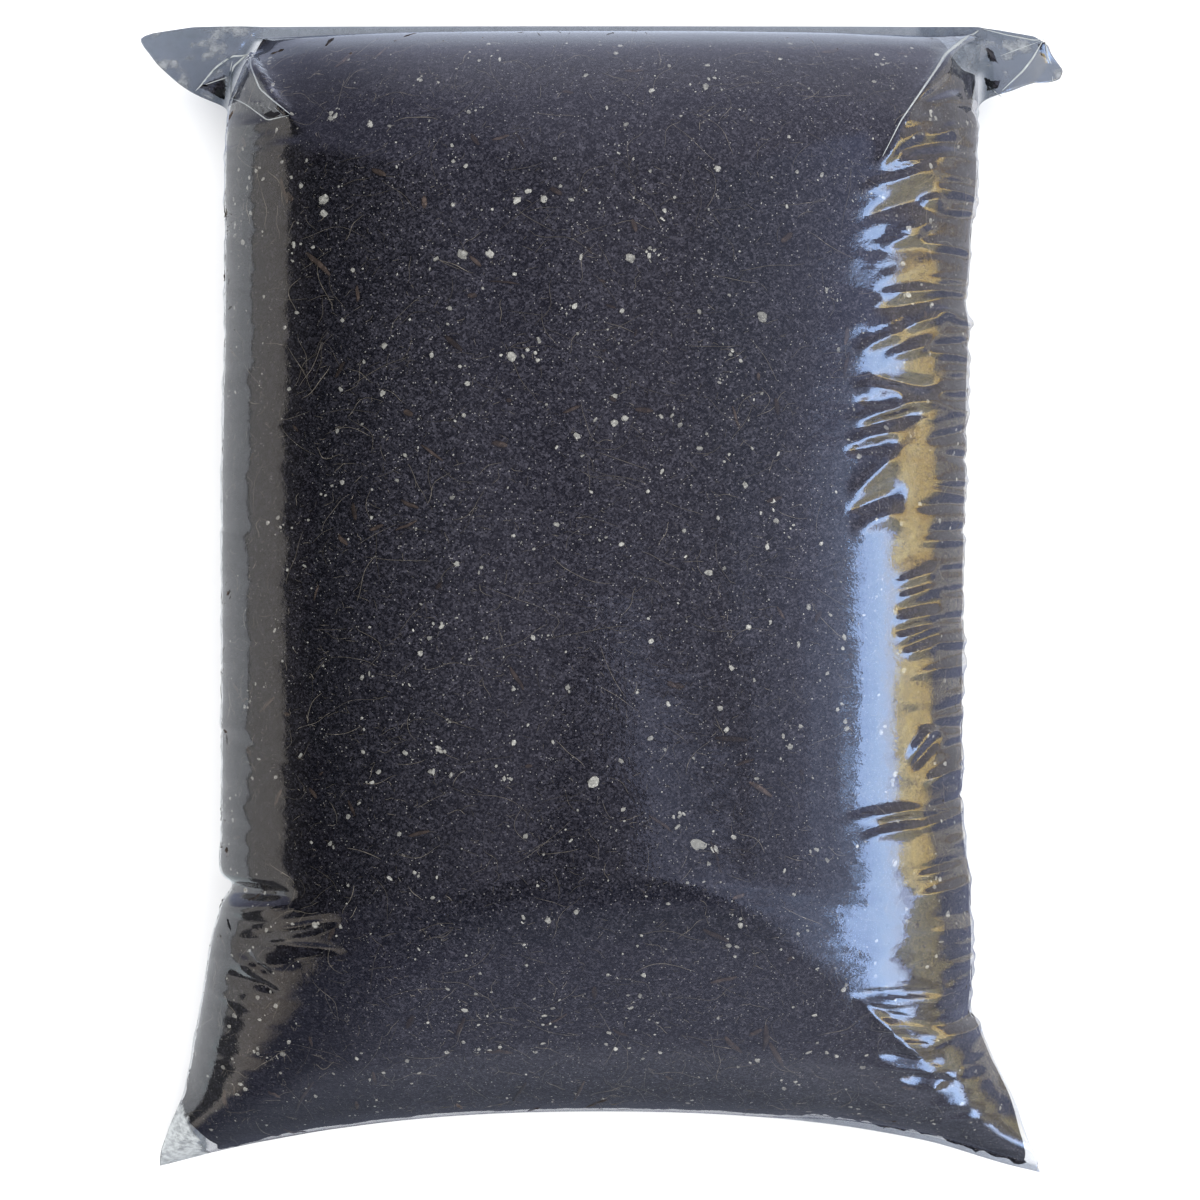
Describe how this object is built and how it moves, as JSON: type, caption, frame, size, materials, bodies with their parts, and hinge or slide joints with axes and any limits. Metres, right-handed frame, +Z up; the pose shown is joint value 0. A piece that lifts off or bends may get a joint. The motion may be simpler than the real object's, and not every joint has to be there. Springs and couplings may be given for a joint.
{
  "type": "compost bag",
  "caption": "Clear film pillow pack of dark potting compost lying flat, its ends heat-sealed and its corners standing out as flat ears.",
  "frame": {"origin": "on the floor, under the middle of the pack's bounding box", "axes": "+Z up from the floor, +Y along the pack towards its square end, +X to the right when it is seen from above with the square end away from the viewer"},
  "size_m": [0.35, 0.434, 0.128],
  "materials": {
    "clear_film": "gloss",
    "compost": "matte"
  },
  "bodies": {
    "root": {"bag_film": "clear_film", "compost_fill": "compost"}
  },
  "joints": []
}
